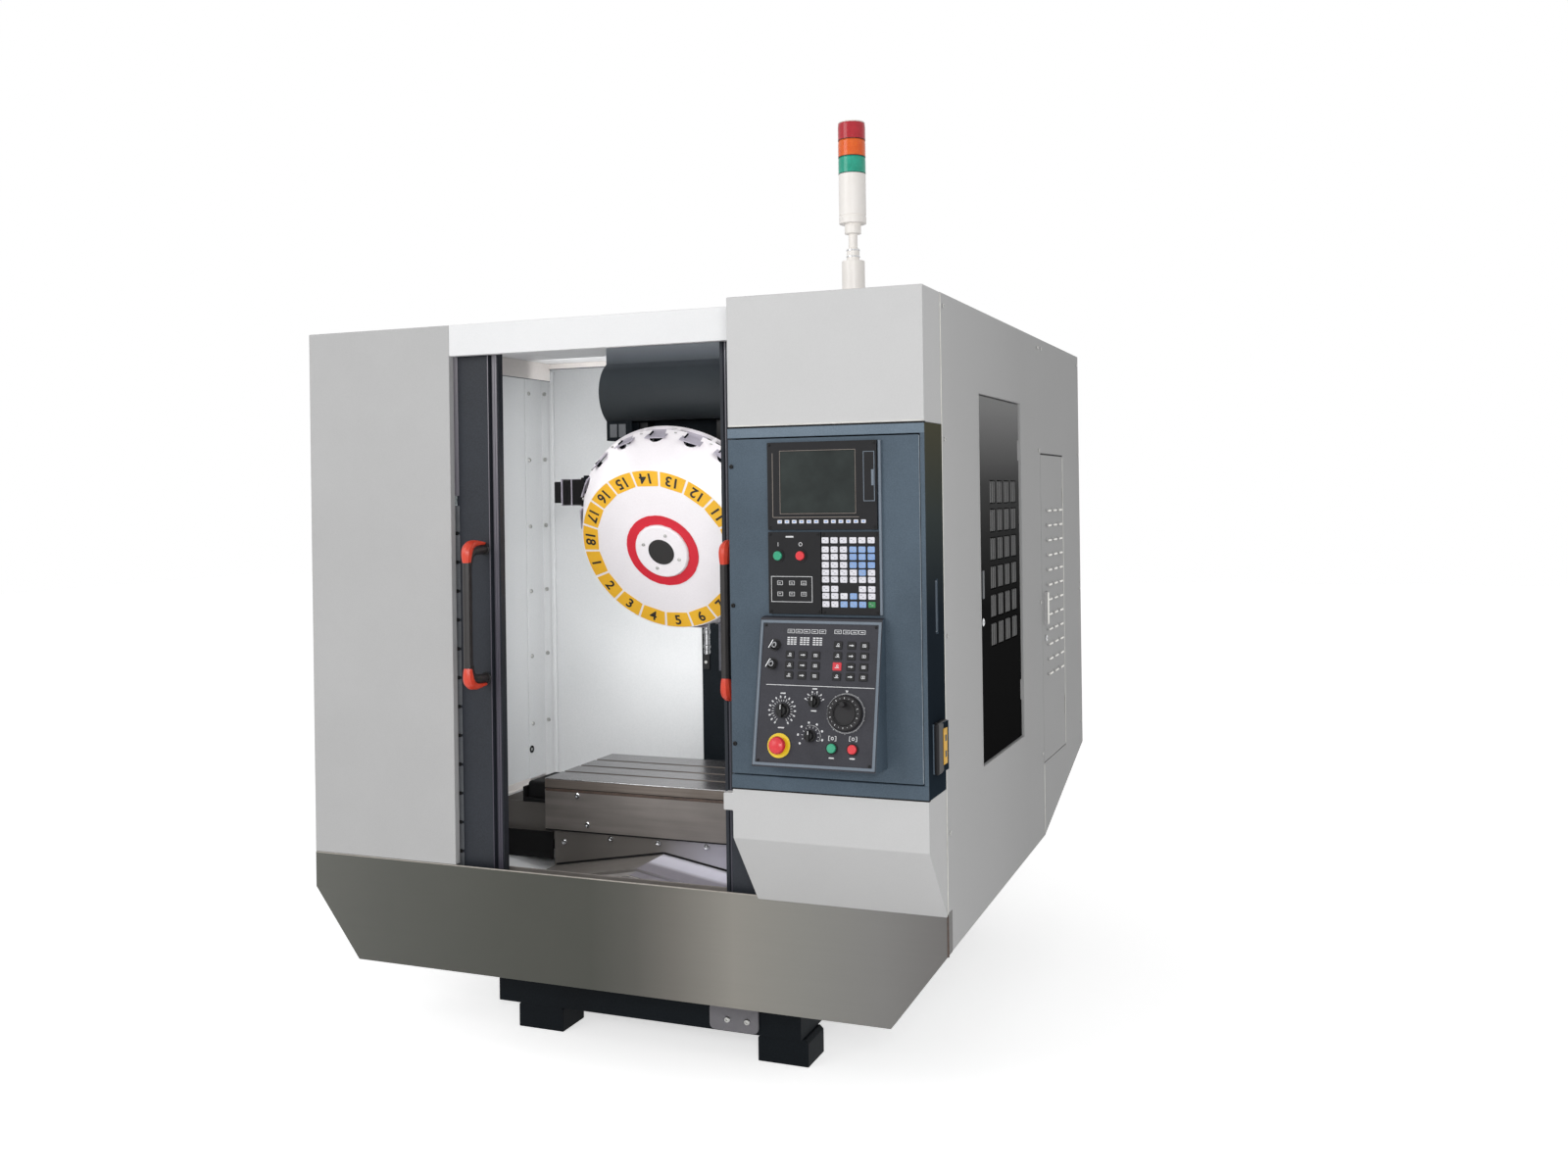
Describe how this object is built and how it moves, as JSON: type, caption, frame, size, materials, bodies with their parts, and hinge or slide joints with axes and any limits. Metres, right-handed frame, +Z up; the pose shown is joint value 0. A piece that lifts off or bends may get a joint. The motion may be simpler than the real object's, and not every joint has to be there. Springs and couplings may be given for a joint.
{
  "type": "cnc machining center",
  "caption": "Enclosed vertical drilling and tapping machine with sliding doors, slotted table, tilted cone tool turret, operator console and signal tower.",
  "frame": {"origin": "on the floor, under the middle of the machine's outline", "axes": "+Z up, +X to the operator's right, -Y towards the operator"},
  "size_m": [1.916, 2.1083, 2.432],
  "materials": {
    "cast_dark": "painted",
    "ground_steel": "ground",
    "motor_black": "satin",
    "stainless": "brushed",
    "light_panel": "satin",
    "white_panel": "satin",
    "dark_panel": "fine texture",
    "tower_white": "satin",
    "lens_plastic": "clear gloss",
    "handle_black": "satin",
    "table_iron": "ground",
    "turret_white": "gloss",
    "gripper_grey": "satin",
    "plate_yellow": "gloss",
    "control_dark": "matt",
    "bezel_grey": "matt",
    "green_plastic": "gloss",
    "red_plastic": "gloss",
    "black_plastic": "matt",
    "chrome_key": "polished"
  },
  "bodies": {
    "machine": {"base_casting": "cast_dark", "levelling_feet": "cast_dark", "column_casting": "cast_dark", "guide_rails": "ground_steel", "axis_motors": "motor_black", "front_apron": "stainless", "left_panel": "light_panel", "right_side_panel": "light_panel", "right_rear_panel": "light_panel", "rear_panel": "light_panel", "roof_panel": "white_panel", "chamber_walls": "white_panel", "chip_pan": "white_panel", "door_tracks": "ground_steel", "way_cover_front": "stainless", "console_top_box": "light_panel", "console_cabinet": "dark_panel", "console_lower_box": "light_panel", "tower_stand": "tower_white", "tower_lenses": "lens_plastic"},
    "left_door": {"left_door_leaf": "dark_panel", "left_door_handle": "handle_black"},
    "right_door": {"right_door_leaf": "dark_panel", "right_door_handle": "handle_black"},
    "saddle": {"saddle_casting": "cast_dark", "saddle_cover": "stainless", "x_axis_motor": "motor_black"},
    "cover_middle": {"way_cover_middle": "stainless"},
    "cover_inner": {"way_cover_inner": "stainless"},
    "table": {"work_table": "table_iron", "table_skirt": "stainless"},
    "head": {"head_casting": "cast_dark", "spindle_motor": "motor_black", "head_cover": "dark_panel"},
    "spindle": {"spindle_shaft": "ground_steel"},
    "turret_carrier": {"turret_arm": "cast_dark", "turret_motor": "motor_black"},
    "turret": {"turret_cone": "turret_white", "tool_grippers": "gripper_grey", "number_plates": "plate_yellow", "turret_hub": "turret_white"},
    "x_screw": {"x_ball_screw": "ground_steel"},
    "y_screw": {"y_ball_screw": "ground_steel"},
    "z_screw": {"z_ball_screw": "ground_steel"},
    "side_door": {"side_door": "control_dark"},
    "cabinet_door": {"cabinet_door": "light_panel"},
    "console_door": {"console_door": "dark_panel", "control_units": "control_dark", "operator_box": "bezel_grey"},
    "power_on": {"power_on": "green_plastic"},
    "power_off": {"power_off": "red_plastic"},
    "feed_knob": {"feed_knob": "black_plastic"},
    "rapid_knob": {"rapid_knob": "black_plastic"},
    "mode_knob": {"mode_knob": "black_plastic"},
    "handwheel": {"handwheel": "black_plastic"},
    "stop_button": {"stop_button": "red_plastic"},
    "cycle_start": {"cycle_start": "green_plastic"},
    "feed_hold": {"feed_hold": "red_plastic"},
    "key_switch_a": {"key_switch_a": "chrome_key"},
    "key_switch_b": {"key_switch_b": "chrome_key"}
  },
  "joints": [
    {"name": "left_door_slide", "type": "slide", "parent": "machine", "child": "left_door", "axis": [1, 0, 0], "range_m": [0, 0.324]},
    {"name": "right_door_slide", "type": "slide", "parent": "machine", "child": "right_door", "axis": [1, 0, 0], "range_m": [-0.35, 0]},
    {"name": "saddle_slide", "type": "slide", "parent": "machine", "child": "saddle", "axis": [0, 1, 0], "range_m": [-0.095, 0.305]},
    {"name": "cover_middle_slide", "type": "slide", "parent": "machine", "child": "cover_middle", "axis": [0, 1, 0], "range_m": [-0.0634, 0.2034]},
    {"name": "cover_inner_slide", "type": "slide", "parent": "machine", "child": "cover_inner", "axis": [0, 1, 0], "range_m": [-0.0317, 0.1017]},
    {"name": "table_slide", "type": "slide", "parent": "saddle", "child": "table", "axis": [1, 0, 0], "range_m": [-0.274, 0.326]},
    {"name": "head_slide", "type": "slide", "parent": "machine", "child": "head", "axis": [0, 0, 1], "range_m": [-0.33, 0]},
    {"name": "spindle_spin", "type": "hinge", "parent": "head", "child": "spindle", "pos_m": [-0.002, -0.155, 1.2], "axis": [0, 0, 1], "continuous": true},
    {"name": "turret_swing", "type": "hinge", "parent": "head", "child": "turret_carrier", "pos_m": [-0.002, -0.18, 1.6], "axis": [-1, 0, 0], "range_deg": [0, 7]},
    {"name": "turret_spin", "type": "hinge", "parent": "turret_carrier", "child": "turret", "pos_m": [-0.002, -0.39923, 1.37238], "axis": [0, 0.9063, 0.4226], "continuous": true},
    {"name": "x_screw_spin", "type": "hinge", "parent": "saddle", "child": "x_screw", "pos_m": [-0.002, -0.214, 0.553], "axis": [1, 0, 0], "continuous": true},
    {"name": "y_screw_spin", "type": "hinge", "parent": "machine", "child": "y_screw", "pos_m": [-0.002, 0, 0.424], "axis": [0, 1, 0], "continuous": true},
    {"name": "z_screw_spin", "type": "hinge", "parent": "machine", "child": "z_screw", "pos_m": [-0.002, 0.325, 1.2], "axis": [0, 0, 1], "continuous": true},
    {"name": "side_door_hinge", "type": "hinge", "parent": "machine", "child": "side_door", "pos_m": [0.938, 0.081, 1.3], "axis": [0, 0, 1], "range_deg": [0, 90]},
    {"name": "cabinet_door_hinge", "type": "hinge", "parent": "machine", "child": "cabinet_door", "pos_m": [0.944, 0.736, 1.15], "axis": [0, 0, 1], "range_deg": [0, 90]},
    {"name": "console_door_hinge", "type": "hinge", "parent": "machine", "child": "console_door", "pos_m": [0.457, -0.921, 1.25], "axis": [0, 0, -1], "range_deg": [0, 95]},
    {"name": "power_on_press", "type": "slide", "parent": "console_door", "child": "power_on", "axis": [0, 1, 0], "range_m": [0, 0.004], "stiffness_N_per_m": 400, "springref_m": -0.001},
    {"name": "power_off_press", "type": "slide", "parent": "console_door", "child": "power_off", "axis": [0, 1, 0], "range_m": [0, 0.004], "stiffness_N_per_m": 400, "springref_m": -0.001},
    {"name": "cycle_start_press", "type": "slide", "parent": "console_door", "child": "cycle_start", "axis": [0, 0.9801, -0.1983], "range_m": [0, 0.004], "stiffness_N_per_m": 400, "springref_m": -0.001},
    {"name": "feed_hold_press", "type": "slide", "parent": "console_door", "child": "feed_hold", "axis": [0, 0.9801, -0.1983], "range_m": [0, 0.004], "stiffness_N_per_m": 400, "springref_m": -0.001},
    {"name": "stop_button_press", "type": "slide", "parent": "console_door", "child": "stop_button", "axis": [0, 0.9801, -0.1983], "range_m": [0, 0.006]},
    {"name": "feed_knob_turn", "type": "hinge", "parent": "console_door", "child": "feed_knob", "pos_m": [0.612, -0.99863, 1.01836], "axis": [0, -0.9801, 0.1983], "range_deg": [-135, 135]},
    {"name": "rapid_knob_turn", "type": "hinge", "parent": "console_door", "child": "rapid_knob", "pos_m": [0.69, -0.99387, 1.04188], "axis": [0, -0.9801, 0.1983], "range_deg": [-60, 60]},
    {"name": "mode_knob_turn", "type": "hinge", "parent": "console_door", "child": "mode_knob", "pos_m": [0.685, -1.00973, 0.96347], "axis": [0, -0.9801, 0.1983], "range_deg": [-120, 120]},
    {"name": "handwheel_turn", "type": "hinge", "parent": "console_door", "child": "handwheel", "pos_m": [0.77, -0.99863, 1.01836], "axis": [0, -0.9801, 0.1983], "continuous": true},
    {"name": "key_switch_a_turn", "type": "hinge", "parent": "console_door", "child": "key_switch_a", "pos_m": [0.582, -0.96789, 1.17028], "axis": [0, -0.9801, 0.1983], "range_deg": [0, 60]},
    {"name": "key_switch_b_turn", "type": "hinge", "parent": "console_door", "child": "key_switch_b", "pos_m": [0.577, -0.97681, 1.12617], "axis": [0, -0.9801, 0.1983], "range_deg": [0, 60]}
  ],
  "couplings": [
    {"joint": "cover_middle_slide", "follows": "saddle_slide", "ratio": 0.66667},
    {"joint": "cover_inner_slide", "follows": "saddle_slide", "ratio": 0.33333},
    {"joint": "x_screw_spin", "follows": "table_slide", "rad_per_m": 392.7},
    {"joint": "y_screw_spin", "follows": "saddle_slide", "rad_per_m": 392.7},
    {"joint": "z_screw_spin", "follows": "head_slide", "rad_per_m": 392.7}
  ]
}
